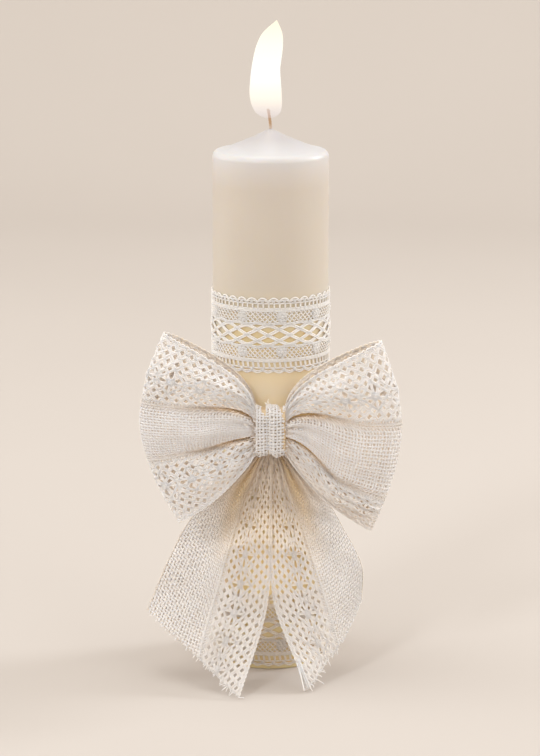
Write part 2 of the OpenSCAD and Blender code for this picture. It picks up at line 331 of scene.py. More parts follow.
class Wrap:
    """A strip wrapped round the knot, with its width along X."""

    def __init__(self, width, depth, height, corner):
        self.width = width
        a, b = depth / 2 - corner, height / 2 - corner
        turns = np.linspace(0, TAU, 145)
        y, z = np.cos(turns), np.sin(turns)
        corner_y = np.where(np.abs(y) < 1e-6, 0, np.sign(y)) * a
        corner_z = np.where(np.abs(z) < 1e-6, 0, np.sign(z)) * b
        outline = np.stack([corner_y + corner * y, corner_z + corner * z], axis=1)
        run = np.concatenate([[0], np.cumsum(np.linalg.norm(np.diff(outline, axis=0), axis=1))])
        self.length = float(run[-1])
        self.run, self.outline, self.turns = run, outline, turns

    def place(self, u, v):
        u = np.mod(u, self.length)
        y, z = (np.interp(u, self.run, self.outline[:, i]) for i in (0, 1))
        turn = np.interp(u, self.run, self.turns)
        side = v / self.width * 2 - 1
        pinch = 0.93 + 0.05 * side ** 2 + 0.02 * side
        fold = (0.85 * np.cos(TAU * 1.7 * v / self.width + 1.1 * np.sin(turn) - 0.6)
                + 0.35 * np.cos(TAU * 3.3 * v / self.width - 1.7 * turn) - 0.9 * np.abs(side) ** 3)
        normal = column(0 * u, np.cos(turn), np.sin(turn))
        p = column(v - self.width / 2, y, z * pinch) + normal * fold[:, None]
        return p + np.array([0, knot_y, knot_z]), normal, np.ones(len(u))


# ---- Threads ----

def thread(u, v, h=0.0, wide=0.35, high=None):
    """Rows of u, v, h and the thread's half width and half height."""
    u, v, h, wide = np.broadcast_arrays(np.asarray(u, float), v, h, wide)
    high = wide if high is None else np.broadcast_to(high, u.shape)
    return np.stack([u, v, h, wide, high], axis=1)


def kept(run, keep):
    """The stretches of a thread where keep is true."""
    edges = np.flatnonzero(np.diff(np.concatenate([[0], keep.astype(int), [0]])))
    return [run[a:b] for a, b in zip(edges[::2], edges[1::2]) if b - a > 2]


def make_mesh(name, points, quads, caps, uv, material):
    mesh = bpy.data.meshes.new(name)
    sides = caps.shape[1] if len(caps) else 0
    loops = np.concatenate([quads.ravel(), caps.ravel()]).astype(np.int32)
    counts = np.concatenate([np.full(len(quads), 4), np.full(len(caps), sides)]).astype(np.int32)
    starts = np.concatenate([[0], np.cumsum(counts)[:-1]]).astype(np.int32)
    mesh.vertices.add(len(points))
    mesh.vertices.foreach_set("co", (points * 0.001).astype(np.float32).ravel())
    mesh.loops.add(len(loops))
    mesh.loops.foreach_set("vertex_index", loops)
    mesh.polygons.add(len(counts))
    mesh.polygons.foreach_set("loop_start", starts)
    mesh.polygons.foreach_set("loop_total", counts)
    mesh.polygons.foreach_set("use_smooth", np.concatenate(
        [np.ones(len(quads), bool), np.zeros(len(caps), bool)]))
    mesh.update(calc_edges=True)
    if uv is not None:
        mesh.uv_layers.new(name="OFBake").data.foreach_set("uv", uv.astype(np.float32).ravel())
    mesh.materials.append(material)
    obj = bpy.data.objects.new(name, mesh)
    scene.collection.objects.link(obj)
    return obj


def sweep(name, runs, cloth, material, sides=5, painted_shade_share=None):
    """One mesh of closed tubes, one for each thread.

    The last argument gives the share of painted gold shade at each flat place u, v.
    """
    sizes = np.array([len(r) for r in runs])
    everything = np.concatenate(runs)
    p, normal, squeeze = cloth.place(everything[:, 0], everything[:, 1])
    p = p + normal * (everything[:, 2] * squeeze)[:, None]
    first = np.concatenate([[0], np.cumsum(sizes)[:-1]])
    last = first + sizes - 1
    index = np.arange(len(p))
    before, after = np.maximum(index - 1, 0), np.minimum(index + 1, len(p) - 1)
    before[first], after[last] = first, last
    tangent = unit(p[after] - p[before])
    side = unit(np.cross(tangent, normal))
    up = np.cross(side, tangent)
    slim = 0.35 + 0.65 * squeeze
    wide, high = everything[:, 3] * slim, everything[:, 4] * slim
    turns = TAU * (np.arange(sides) + 0.5) / sides
    ring = (p[:, None] + side[:, None] * (np.cos(turns)[None, :, None] * wide[:, None, None])
            + up[:, None] * (np.sin(turns)[None, :, None] * high[:, None, None]))
    start = index[~np.isin(index, last)]
    a = np.arange(sides)
    b = (a + 1) % sides
    quads = np.stack([
        start[:, None] * sides + a, start[:, None] * sides + b,
        (start[:, None] + 1) * sides + b, (start[:, None] + 1) * sides + a], axis=2).reshape(-1, 4)
    caps = np.concatenate([first[:, None] * sides + a[::-1], last[:, None] * sides + a])
    uv = thread_map(sizes, first, start, sides)
    obj = make_mesh(name, ring.reshape(-1, 3), quads, caps, uv, material)
    # per-point share of painted gold shade, stored for the yarn material to read
    painted_shade = np.zeros(len(p)) if painted_shade_share is None else painted_shade_share(everything[:, 0], everything[:, 1])
    obj.data.attributes.new("painted_shade", "FLOAT", "POINT").data.foreach_set(
        "value", np.repeat(painted_shade, sides).astype(np.float32))
    return obj


def thread_map(sizes, first, start, sides):
    """Lays every tube out flat, tube after tube in rows, for the colour maps."""
    total = int((sizes + 1).sum())
    across = max(int(math.sqrt(total * (sides + 1.0))), int(sizes.max()) + 2)
    x, y, left, row = np.zeros(len(sizes)), np.zeros(len(sizes)), 0, 0
    for i, n in enumerate(sizes):
        if left + n + 1 > across:
            left, row = 0, row + sides + 1
        x[i], y[i] = left, row
        left += n + 1
    size = max(across, row + sides + 1)
    owner = np.searchsorted(first, start, side="right") - 1
    base = np.stack([x[owner] + start - first[owner], y[owner]], axis=1)
    a = np.arange(sides)
    corner = np.stack([
        np.stack([0 * a, a], 1), np.stack([0 * a, a + 1], 1),
        np.stack([0 * a + 1, a + 1], 1), np.stack([0 * a + 1, a], 1)], axis=1)
    quads = (base[:, None, None, :] + corner[None]).reshape(-1, 2)
    ends = []
    for shift, order in ((0 * sizes, a[::-1]), (sizes - 1, a)):
        ends.append(np.stack([
            (x + shift)[:, None] + 0.2 * np.cos(TAU * order / sides),
            y[:, None] + sides / 2 + 0.2 * np.sin(TAU * order / sides)], axis=2).reshape(-1, 2))
    return (np.concatenate([quads, *ends]) + 0.5) / (size + 1)


# ---- Patterns ----

def wander(u, rng, size):
    slow = np.sin(u / 5.1 + rng.uniform(0, TAU))
    return size * (slow + 0.6 * np.sin(u / 2.3 + rng.uniform(0, TAU)))


def fold_wave(x):
    """Even zigzag from 0 to 1 and back, one turn for each whole number."""
    return np.abs(2 * (x - np.floor(x)) - 1)


def plied(u, v, h, radius, pitch):
    """Two threads twisted round each other."""
    turn = TAU * u / pitch
    away = radius * 0.8
    return [thread(u, v + k * away * np.cos(turn), h + k * away * np.sin(turn), radius)
            for k in (-1, 1)]


# The ribbon's lace: a ground of holes with a row of spiders in diamonds.
PITCH = 5.2
GAP = 3.3
SPIDER_STEP = 3 * PITCH
SPIDER_V = 15.1
SPIDER_HALF_U = 7.9
SPIDER_HALF_V = 7.0


def ribbon_lace(length, seed):
    """Torchon edging of the ribbon. v is 0 at the linen and LACE_W at the free edge."""
    rng = np.random.default_rng(seed)
    runs = []
    u = np.arange(0, length, 0.43)
    wave = TAU * u / PITCH
    runs += plied(u, 0.5 + 0 * u, 0.15, 0.36, 2.4)
    for k in (0, 1):
        runs.append(thread(u, 1.7 + 1.0 * np.cos(TAU * u / 3.1 + k * math.pi),
                           0.25 * np.sin(TAU * u / 3.1 + k * math.pi), 0.33))
    # the ground, left out inside each diamond
    centre = np.round((u - SPIDER_STEP / 2) / SPIDER_STEP) * SPIDER_STEP + SPIDER_STEP / 2
    for k in range(10):
        level = 3.5 + GAP * k
        for c in (-1, 0, 1):
            phase = wave + k * math.pi
            spread = 0.7 + 0.3 * np.abs(np.sin(phase))
            v = level + 0.88 * np.cos(phase) + c * spread + wander(u, rng, 0.09)
            h = 0.22 * np.cos(phase / 2 + c * 2.1 + k)
            inside = np.abs(u - centre) / SPIDER_HALF_U + np.abs(v - SPIDER_V) / SPIDER_HALF_V < 1
            runs += kept(thread(u, v, h, 0.43, 0.32), ~inside)
    # the diamonds' edges, the spiders in them, and the free edge
    for way in (-1, 1):
        for c in (-0.25, 0.6):
            v = SPIDER_V + way * ((SPIDER_HALF_V + 0.2) * (1 - fold_wave(u / SPIDER_STEP)) + c)
            runs.append(thread(u, v, 0.2 * way + 0.12 * np.cos(wave + c), 0.42, 0.34))
    for uc in np.arange(SPIDER_STEP / 2, length, SPIDER_STEP):
        runs += spider(uc, rng)
    runs.append(thread(u, 34.5 + wander(u, rng, 0.05), 0.15, 0.42, 0.36))
    runs.append(thread(u, 34.9 + 0.7 * (1 - fold_wave(u / 2.6)) ** 0.8, 0.12, 0.4))
    return runs


def spider(uc, rng):
    """Spider of a torchon ground: crossing pairs of legs and a woven body."""
    runs = []
    for k, degrees in enumerate((15, 50, 90, 130, 165, 195, 230, 270, 310, 345)):
        turn = math.radians(degrees + rng.uniform(-4, 4))
        x, y = math.cos(turn), math.sin(turn)
        end = 1 / (abs(x) / SPIDER_HALF_U + abs(y) / SPIDER_HALF_V) + 0.3
        s = np.linspace(0, 1, 11)
        bow = 0.45 * np.sin(math.pi * s) * (-1) ** k
        for c in (-0.42, 0.42):
            away = 0.9 + (end - 0.9) * s
            offset = bow + c * (0.7 + 0.3 * s)
            runs.append(thread(uc + away * x - offset * y, SPIDER_V + away * y + offset * x,
                               0.45 * (1 - s), 0.38, 0.32))
    turn = np.arange(0, 4.2 * TAU, 0.55)
    away = 0.25 + 1.95 * turn / turn[-1]
    runs.append(thread(uc + away * np.cos(turn) * 1.15, SPIDER_V + away * np.sin(turn) * 0.95,
                       0.75 - 0.12 * away ** 2 + 0.12 * np.cos(2.5 * turn), 0.38))
    return runs


WEAVE = 1.72
YARN_HALF_H = 0.21
CRIMP = 0.27


def linen(length, width, seed, fill):
    """Plain weave of slubby yarns. fill is half the width of a yarn."""
    rng = np.random.default_rng(seed)
    runs = []
    u = np.arange(0, length, WEAVE / 4)
    v = np.arange(0, width + 0.01, WEAVE / 4)
    for k in range(int(width / WEAVE) + 1):
        at = min(k * WEAVE + 0.4, width - 0.4)
        slub = 1 + wander(u * 0.6, rng, 0.07)
        crimp = CRIMP * np.cos(math.pi * u / WEAVE + k * math.pi)
        runs.append(thread(u, at + wander(u, rng, 0.12), crimp, fill * slub, YARN_HALF_H * slub))
    for k in range(int(length / WEAVE) + 1):
        slub = (1 + wander(v * 0.6, rng, 0.07)) * rng.uniform(0.88, 1.1)
        crimp = -CRIMP * np.cos(math.pi * v / WEAVE + k * math.pi)
        runs.append(thread(
            k * WEAVE + wander(v, rng, 0.12), v, crimp, fill * slub, YARN_HALF_H * slub))
    return runs


LATTICE = 11.0


def band_lace(length, seed):
    """Wide band of lace. v is 0 at its lower edge."""
    rng = np.random.default_rng(seed)
    runs = []
    u = np.arange(0, length, 0.48)
    # lower edge: beads on a wavy cord, then a ladder between two tapes
    scallop = TAU * u / 5.5
    runs.append(thread(u, 0.9 - 0.45 * np.cos(scallop), 0.45, 0.4))
    runs.append(thread(u, 1.7 - 0.3 * np.cos(scallop), 0.5, 0.35))
    for at in np.arange(2.75, length, 5.5):
        runs.append(knob(at, 2.1, 0.95, 0.75))
    runs.append(thread(u, 3.0, 0.4, 0.4))
    for at in np.arange(0.6, length, 2.75):
        s = np.linspace(3.0, 6.4, 9)
        for c in (-0.28, 0.28):
            runs.append(thread(at + c + 0.15 * np.sin(s * 2), s, 0.5, 0.3))
    for level in (6.3, 6.95, 7.6):
        lift = 0.5 + 0.1 * np.cos(TAU * u / 2.1 + level)
        runs.append(thread(u, level + wander(u, rng, 0.04), lift, 0.38))
    # fine ground below and above the lattice
    for low in (8.7, 26.3):
        for k in range(5):
            phase = TAU * u / 2.5 + k * math.pi + 0.5 * np.sin(u / 3.7 + k)
            v = low + 1.33 * k + 0.55 * np.cos(phase) + wander(u, rng, 0.1)
            runs.append(thread(u, v, 0.4 + 0.2 * np.sin(phase), 0.34))
    for at in np.arange(3.0, length, 20.6):
        for middle in (11.2, 29.4):
            runs += blossom(at, middle, rng)
    # lattice of doubled cords
    for k in range(4):
        turn = TAU * (u / (4 * LATTICE) + k / 4)
        wave = np.arcsin(0.96 * np.sin(turn)) / math.asin(0.96)
        for c in (-0.46, 0.46):
            v = 20.1 + 5.0 * wave + c
            runs.append(thread(u, v, 0.55 + 0.22 * np.cos(2 * turn + c), 0.48))
    for level, way in ((14.6, 1), (25.6, -1)):
        for c in (0, 0.75):
            v = level - way * c + 0.35 * way * np.cos(TAU * u / LATTICE)
            runs.append(thread(u, v, 0.45, 0.42))
    # upper edge: tape, small holes, scallops with a bead in each
    for level in (32.5, 33.2, 33.9):
        lift = 0.5 + 0.1 * np.cos(TAU * u / 2.3 + level)
        runs.append(thread(u, level + wander(u, rng, 0.04), lift, 0.4))
    for at in np.arange(0.4, length, 2.75):
        s = np.linspace(34.0, 36.6, 7)
        runs.append(thread(at + 0 * s, s, 0.5, 0.45))
    runs.append(thread(u, 36.5, 0.45, 0.38))
    arch = np.abs(np.sin(math.pi * u / 5.5)) ** 0.6
    runs.append(thread(u, 36.9 + 2.3 * arch, 0.45, 0.4))
    runs.append(thread(u, 36.7 + 1.5 * arch, 0.55, 0.33))
    for at in np.arange(2.75, length, 5.5):
        runs.append(knob(at, 37.5, 0.8, 0.6))
    return runs


def knob(u, v, wide, high):
    """Small raised stitch: a short fat coil."""
    turn = np.arange(0, 1.8 * TAU, 0.7)
    share = turn / turn[-1]
    away = wide * (0.25 + 0.6 * turn / turn[-1])
    return thread(
        u + away * np.cos(turn), v + away * np.sin(turn), 0.5 + high * 0.4 * (1 - share), 0.33)


def blossom(u, v, rng):
    """Raised flower: a ring of small coils round a middle one."""
    runs = [knob(u, v, 1.1, 1.5)]
    for k in range(6):
        turn = TAU * k / 6 + rng.uniform(-0.1, 0.1)
        runs.append(knob(u + 1.75 * math.cos(turn), v + 1.75 * math.sin(turn), 0.95, 1.0))
    ring = np.linspace(0, TAU, 26)
    runs.append(thread(u + 2.5 * np.cos(ring), v + 2.5 * np.sin(ring), 0.5, 0.32))
    return runs


# ---- Materials ----

def new_node(tree, kind, *pairs):
    node = tree.nodes.new(kind)
    for key, value in pairs:
        node.inputs[key].default_value = value
    return node


def axes(tree, space="Object"):
    """Outputs X, Y and Z of the shaded place."""
    split = tree.nodes.new("ShaderNodeSeparateXYZ")
    tree.links.new(tree.nodes.new("ShaderNodeTexCoord").outputs[space], split.inputs[0])
    return split.outputs


def ranged(tree, source, *pairs):
    """Source mapped from one range to another."""
    node = new_node(tree, "ShaderNodeMapRange", *pairs)
    tree.links.new(source, node.inputs["Value"])
    return node.outputs["Result"]


def mix_colours(tree, factor, a, b, blend="MIX"):
    """Mix of two colour outputs. factor is an output or a number."""
    node = tree.nodes.new("ShaderNodeMix")
    node.data_type, node.blend_type = "RGBA", blend
    if isinstance(factor, float):
        node.inputs["Factor"].default_value = factor
    else:
        tree.links.new(factor, node.inputs["Factor"])
    tree.links.new(a, node.inputs["A"])
    if isinstance(b, tuple):
        node.inputs["B"].default_value = b
    else:
        tree.links.new(b, node.inputs["B"])
    return node.outputs["Result"]


def ramp(tree, source, *stops):
    node = tree.nodes.new("ShaderNodeValToRGB")
    while len(node.color_ramp.elements) < len(stops):
        node.color_ramp.elements.new(0.5)
    for element, (at, colour) in zip(node.color_ramp.elements, stops):
        element.position, element.color = at, (*colour, 1)
    tree.links.new(source, node.inputs["Fac"])
    return node.outputs["Color"]


def start_material(name):
    material = bpy.data.materials.new(name)
    material.use_nodes = True
    tree = material.node_tree
    return material, tree, tree.nodes["Principled BSDF"]


def noise(tree, scale, detail=2.0, stretch=None):
    place = tree.nodes.new("ShaderNodeTexCoord").outputs["Object"]
    if stretch is not None:
        mapping = tree.nodes.new("ShaderNodeMapping")
        mapping.inputs["Scale"].default_value = stretch
        tree.links.new(place, mapping.inputs["Vector"])
        place = mapping.outputs["Vector"]
    node = new_node(tree, "ShaderNodeTexNoise", ("Scale", scale), ("Detail", detail))
    tree.links.new(place, node.inputs["Vector"])
    return node.outputs["Fac"]


# Gold that painted shade multiplies the yarn colour towards.
PAINTED_SHADE_GOLD = (0.80, 0.50, 0.19, 1)


def yarn(name, dark, light, roughness=0.85, sheen=0.25):
    """Cotton or linen yarn with a slow change of tone and fine fibres.

    A per-point share read from a mesh attribute multiplies it towards gold: painted shade in
    creases, under the bow and on far layers of cloth.
    """
    material, tree, shader = start_material(name)
    slow, fine = noise(tree, 55), noise(tree, 1600, 3)
    blend = tree.nodes.new("ShaderNodeMath")
    blend.operation = "MULTIPLY_ADD"
    tree.links.new(fine, blend.inputs[0])
    blend.inputs[1].default_value = 0.45
    tree.links.new(slow, blend.inputs[2])
    colour = ramp(tree, blend.outputs[0], (0.45, dark), (0.95, light))
    # painted shade: the threads' per-point share tints the yarn towards gold
    painted_shade = tree.nodes.new("ShaderNodeAttribute")
    painted_shade.attribute_name = "painted_shade"
    tint = mix_colours(tree, painted_shade.outputs["Fac"], colour, PAINTED_SHADE_GOLD, "MULTIPLY")
    tree.links.new(tint, shader.inputs["Base Color"])
    shader.inputs["Roughness"].default_value = roughness
    shader.inputs["Sheen Weight"].default_value = sheen
    shader.inputs["Sheen Roughness"].default_value = 0.5
    shader.inputs["Subsurface Weight"].default_value = 0.5
    shader.inputs["Subsurface Radius"].default_value = (1.0, 0.8, 0.6)
    shader.inputs["Subsurface Scale"].default_value = 0.0025
    shader.inputs["Specular IOR Level"].default_value = 0.25
    return material


def plain(name, dark, light, scale, roughness, metal=0.0, stretch=None):
    """Finish for the pieces inside, with a tone that drifts between dark and light."""
    material, tree, shader = start_material(name)
    tree.links.new(ramp(tree, noise(tree, scale, 3, stretch), (0.35, dark), (0.7, light)),
                   shader.inputs["Base Color"])
    shader.inputs["Roughness"].default_value = roughness
    shader.inputs["Metallic"].default_value = metal
    return material


def wax_material():
    """Ivory wax with painted glow: paler near the crown as flame light, and orange-gold on the
    front behind the bow as light through the wax in its shade.
    """
    material, tree, shader = start_material("ivory wax")
    place = axes(tree)
    top = float(candle_high[2]) * 0.001
    height = ranged(tree, place["Z"], ("From Min", 0.0), ("From Max", top))
    # stops near the top: paler and cooler, painted glow from the flame, then darker again at the
    # very top
    crown = ((0.72, (0.57, 0.50, 0.41)), (0.90, (0.575, 0.505, 0.43)),
             (0.935, (0.62, 0.57, 0.53)), (0.96, (0.60, 0.60, 0.62)), (0.985, (0.45, 0.43, 0.445)))
    even = ramp(tree, height, (0.0, (0.57, 0.50, 0.40)), (0.5, (0.57, 0.50, 0.405)), *crown)
    # painted glow: orange-gold where light through the wax meets the bow's shade, blended in on the
    # front only by the Y mask below
    painted_glow = ramp(
        tree, height, (0.0, (0.90, 0.66, 0.30)), (0.14, (0.92, 0.72, 0.36)),
        (0.48, (0.80, 0.62, 0.34)), (0.53, (0.75, 0.63, 0.44)), (0.62, (0.80, 0.60, 0.28)), *crown)
    front = ranged(tree, place["Y"], ("From Min", -0.008), ("From Max", -0.024))
    tone = mix_colours(tree, front, even, painted_glow)
    clouds = ramp(tree, noise(tree, 28, 3), (0.3, (0.93, 0.93, 0.92)), (0.7, (1, 1, 1)))
    tree.links.new(mix_colours(tree, 0.5, tone, clouds, "MULTIPLY"), shader.inputs["Base Color"])
    shader.inputs["Roughness"].default_value = 0.38
    shader.inputs["Subsurface Weight"].default_value = 0.6
    shader.inputs["Subsurface Radius"].default_value = (1.0, 0.75, 0.45)
    shader.inputs["Subsurface Scale"].default_value = 0.008
    shader.inputs["Specular IOR Level"].default_value = 0.55
    return material


wax = wax_material()
band_yarn = yarn("band lace cotton", (0.80, 0.75, 0.70), (0.93, 0.895, 0.855))
lace_yarn = yarn("ribbon lace cotton", (0.76, 0.71, 0.67), (0.90, 0.86, 0.83))
linen_yarn = yarn("linen yarn", (0.75, 0.695, 0.66), (0.89, 0.845, 0.815), 0.9, 0.2)


# ---- Pieces ----

def wear(obj, body, replaced):
    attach(obj, body)
    if replaced:
        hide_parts(replaced)


def cloth_look(part):
    """Yarn and slot of a strip of the ribbon."""
    return (linen_yarn, "linen") if part == "linen" else (lace_yarn, "ribbon_lace")


def bands():
    turn = TAU * candle_r
    length = turn + BAND_LAP
    # each band's even share of painted gold shade: slight on the upper band, more on the lower
    # band, which lies in shade behind the tails
    for level, seed, painted_gold_share in (("upper", 5, 0.06), ("lower", 6, 0.3)):
        low, _ = span(f"{level}_lace_band")
        ring = Ring(candle_r, low[2], turn)
        obj = sweep(f"{level}_lace_threads", band_lace(length, seed), ring, band_yarn,
                    painted_shade_share=lambda u, v: painted_gold_share + 0 * u)
        wear(obj, "candle", f"{level}_lace_band")


LOOPS = {
    "left": (-1, loop_point(-1, RIBBON_W * 0.5, RIBBON_W * 0.44, 20, 13, 0, 0.03, 0, 3)),
    "right": (1, loop_point(1, RIBBON_W * 0.46, RIBBON_W * 0.48, 15, 11, 0.18, 0.1, 1.1, 8)),
}


def loop_painted_shade(cloth, way):
    """Share of painted gold shade: in the seams' slits, at the root, on the back half and low on
    the right loop.
    """

    def painted_shade_share(u, v):
        out = np.sin(math.pi * np.clip(u / cloth.length, 0, 1))
        at = cloth.share(v)
        slit = bells(at, SEAM_SLITS, 0.022)
        behind = 0.35 * smooth((u / cloth.length - 0.52) / 0.06)
        root = 0.4 * bell(out, 0, 0.08)
        under = 0.22 * smooth((0.34 - at) / 0.2) if way > 0 else 0
        return np.clip(1.3 * slit * bell(out, 0, 0.7) + behind + root + under, 0, 1)

    return painted_shade_share


def loops():
    for side, (way, point) in LOOPS.items():
        for part, first, last, width in (
            ("upper_lace", 1 - LACE_SHARE, 1.0, LACE_W),
            ("linen", LACE_SHARE, 1 - LACE_SHARE, LINEN_W),
            ("lower_lace", LACE_SHARE, 0.0, LACE_W),
        ):
            cloth = Cloth(point, way, width, first, last, square=False)
            seed = 20 + way * 3 + len(part)
            runs = (linen(cloth.length, width, seed, 0.53 if way > 0 else 0.64) if part == "linen"
                    else ribbon_lace(cloth.length, seed))
            # the back half is seen at a slant: its threads lie flatter and wider
            for run in runs:
                back = smooth((run[:, 0] / cloth.length - 0.52) / 0.06)
                run[:, 3] *= 1 + 0.4 * back
                run[:, 4] *= 1 - 0.3 * back
            material, slot = cloth_look(part)
            obj = sweep(f"{side}_loop_{part}_threads", runs, cloth, material,
                        painted_shade_share=loop_painted_shade(cloth, way))
            wear(obj, "candle", f"{side}_loop_{part}")


TAIL_TABLES = {
    "left": [
        [[0, 4, 1], [1.6, 4, 1], [3.2, 4.2, 1], [4.8, 4.4, 1], [6.4, 4.7, 1]],
        [[0, 4.5, 0.82], [6, 5, 0.82], [12, 6, 0.815], [20, 5.6, 0.81], [29, 15, 0.8]],
        [[0, 6, 0.64], [9, 7.4, 0.65], [17.5, 9.6, 0.66], [27, 14, 0.65], [44, 18, 0.62]],
        [[1, 16, 0.33], [14, 20.5, 0.36], [27.5, 34, 0.38], [38, 34, 0.42], [54, 22, 0.45]],
        [[15, 54, 0.012], [25.5, 55, 0.07], [36, 62, 0.135], [50, 48.5, 0.21], [63, 35, 0.286]]],
    "right": [
        [[0, 4, 1], [1.6, 4, 1], [3.2, 4.2, 1], [4.8, 4.4, 1], [6.4, 4.7, 1]],
        [[0, 4.5, 0.82], [5.5, 5, 0.82], [10.5, 6, 0.8], [18, 4.5, 0.8], [26, 8, 0.79]],
        [[0, 6, 0.64], [8.5, 7.7, 0.65], [16, 8.6, 0.65], [25, 10.5, 0.66], [37, 16, 0.62]],
        [[1, 14, 0.34], [13, 17, 0.38], [25.5, 26, 0.4], [36, 31, 0.43], [46.5, 21, 0.46]],
        [[18, 44, 0.012], [26, 42, 0.075], [34.5, 46, 0.15], [41, 34, 0.21], [47, 24, 0.3]]],
}
TAILS = {
    "left": (-1, tail_point(-1, TAIL_TABLES["left"], 4)),
    "right": (1, tail_point(1, TAIL_TABLES["right"], 9)),
}


def loose_end(start, along, length, curl, rng, radius):
    """Cut thread that carries on from start, curling a little, and stays above the table."""
    s = np.linspace(0, 1, 9)[:, None]
    bend = rng.normal(0, curl, 3)
    p = (start + along * length * s + bend * length * s ** 2
         + 0.3 * np.sin(5 * s + rng.uniform(0, TAU)) * s)
    z = np.maximum(p[:, 2], TABLE_CLEARANCE)
    return thread(p[:, 0], z, -p[:, 1], radius * (1 - 0.35 * s[:, 0]))


def cut_ends(cloth, part, way, rng):
    """Frayed threads at the slanting cut of a tail, with longer ones at the right tail's tip."""
    gap, longest, radius = (0.85, 2.2, 0.36) if part == "lace" else (1.7, 1.6, 0.42)
    runs = []
    for v in np.arange(0.5, cloth.width - 0.4, gap):
        v = np.array([v])
        reach = cloth.end(v)
        p, _, _ = cloth.place(np.concatenate([reach - 2.5, reach - 0.6]), np.repeat(v, 2))
        along = unit(p[1] - p[0])
        runs.append(loose_end(p[1], along, rng.uniform(0.3, longest), 0.6, rng, radius))
    if part == "lace" and way > 0:
        for k in range(9):
            v = np.array([35.6 - 0.35 * k])
            reach = cloth.end(v)
            u = np.linspace(reach[0] - rng.uniform(12, 17), reach[0], 12)
            p, normal, _ = cloth.place(u, np.repeat(v, 12))
            s = np.linspace(0, 1, 12)[:, None]
            stray = rng.normal(0, 0.9, 3)
            p = (p + normal * 0.9 + s * stray * np.array([1, 1, 0.3])
                 - s * np.array([1.2, 0, 0.4]))
            runs.append(thread(p[:, 0], np.maximum(p[:, 2], TABLE_CLEARANCE), -p[:, 1], 0.42))
    return runs


def tail_painted_shade(cloth, part):
    """Share of painted gold shade: high up under the bow, along the inner seam, a little
    everywhere, and evenly on the lace folded behind.
    """

    def painted_shade_share(u, v):
        s, w = u / cloth.length, cloth.share(v)
        if part == "back_lace":
            return 0.35 + 0 * s
        high = 1 - smooth((s - 0.15) / 0.35)
        inner = bell(w, 0.62, 0.13) * (1 - smooth((s - 0.35) / 0.3))
        return np.clip(0.12 + 0.4 * high + 0.35 * inner, 0, 1)

    return painted_shade_share


def tails():
    for side, (way, point) in TAILS.items():
        ends = []
        for part, surface, first, last, width in (
            ("lace", point, TAIL_SEAM, 0.0, LACE_W),
            ("linen", point, TAIL_SEAM, 1.0, LINEN_W),
            ("back_lace", fold_point(way, point), 0.0, 1.0, LACE_W),
        ):
            cloth = Cloth(surface, 1, width, first, last)
            _, normal, _ = cloth.place(np.array([cloth.length * 0.5]), np.array([width / 2]))
            if (normal[0, 1] > 0) != (part == "back_lace"):
                cloth.facing = -1
            seed = 40 + way * 5 + len(part)
            runs = (linen(cloth.length, width, seed, 0.64) if part == "linen"
                    else ribbon_lace(cloth.length, seed))
            # the lace at the back starts clear of the loops, for when the tail is lifted
            start = 5.5 if part == "back_lace" else 0
            runs = [piece for run in runs for piece in kept(
                run, (run[:, 0] >= start) & (run[:, 0] <= cloth.end(run[:, 1])))]
            material, slot = cloth_look(part)
            obj = sweep(f"{side}_tail_{part}_threads", runs, cloth, material,
                        painted_shade_share=tail_painted_shade(cloth, part))
            if part != "back_lace":
                ends += cut_ends(cloth, part, way, np.random.default_rng(seed + 100))
            wear(obj, f"{side}_tail", f"{side}_tail_{part}")
        frays = sweep(f"{side}_tail_frayed_ends", ends, Space(), lace_yarn, 4)
        wear(frays, f"{side}_tail", None)


def knot():
    wrap = Wrap(knot_w, knot_depth, knot_h, 6.2)
    runs = linen(wrap.length, knot_w, 77, 0.58)
    obj = sweep("knot_linen_threads", runs, wrap, linen_yarn)
    wear(obj, "candle", "bow_knot_wrap")
    rng = np.random.default_rng(31)
    ends = []
    # threads that stick out of both cut edges, in front
    for u in np.arange(2, wrap.length, 1.15):
        for edge in (0.2, knot_w - 0.2):
            p, normal, _ = wrap.place(np.array([u]), np.array([edge]))
            if rng.uniform() < 0.6 and p[0, 1] < knot_y + 4:
                outward = np.array([math.copysign(1, edge - 1), 0, rng.normal(0, 0.5)])
                ends.append(loose_end(p[0] + normal[0] * 0.2, unit(outward + 0.5 * normal[0]),
                                      rng.uniform(0.8, 2.4), 0.3, rng, 0.3))
    # and a few that stand up from the top
    for _ in range(7):
        p, _, _ = wrap.place(np.array([wrap.length * (0.25 + rng.uniform(-0.03, 0.05))]),
                             np.array([rng.uniform(2, 9)]))
        ends.append(loose_end(p[0], unit(np.array([rng.normal(-0.2, 0.5), -0.3, 1.0])),
                              rng.uniform(1.5, 4), 0.3, rng, 0.28))
    frays = sweep("knot_frayed_threads", ends, Space(), linen_yarn, 4)
    wear(frays, "candle", None)


def wick_braid():
    wick_low, wick_high = span("wick")
    z = np.arange(wick_low[2] + 0.3, wick_high[2] - 0.3, 0.5)
    runs = []
    for k in range(3):
        turn = TAU * (z / 4.2 + k / 3)
        runs.append(thread(z, 0.42 * np.cos(turn), 0.42 * np.sin(turn), 0.45))
    material, tree, shader = start_material("braided wick")
    up = ranged(tree, axes(tree)["Z"], ("From Min", 0.280), ("From Max", 0.292))
    colour = ramp(tree, up, (0.0, (0.62, 0.52, 0.44)), (0.3, (0.42, 0.25, 0.13)),
                  (0.8, (0.36, 0.20, 0.11)), (0.97, (0.16, 0.10, 0.08)))
    tree.links.new(colour, shader.inputs["Base Color"])
    shader.inputs["Roughness"].default_value = 0.8
    wick = sweep("wick_braid", runs, WickLine(candle_high[2], wick_high[2]), material, 6)
    wear(wick, "candle", "wick")


# Rows from the flame's foot to its tip: lean and half width, as shares of its greatest half width.
FLAME_HALF_W = 8.2
FLAME = np.array([
    [-0.1, 0.62], [-0.23, 0.93], [-0.31, 1.0], [-0.32, 0.96], [-0.3, 0.9], [-0.19, 0.88],
    [-0.05, 0.82], [0.12, 0.6], [0.38, 0.02]])


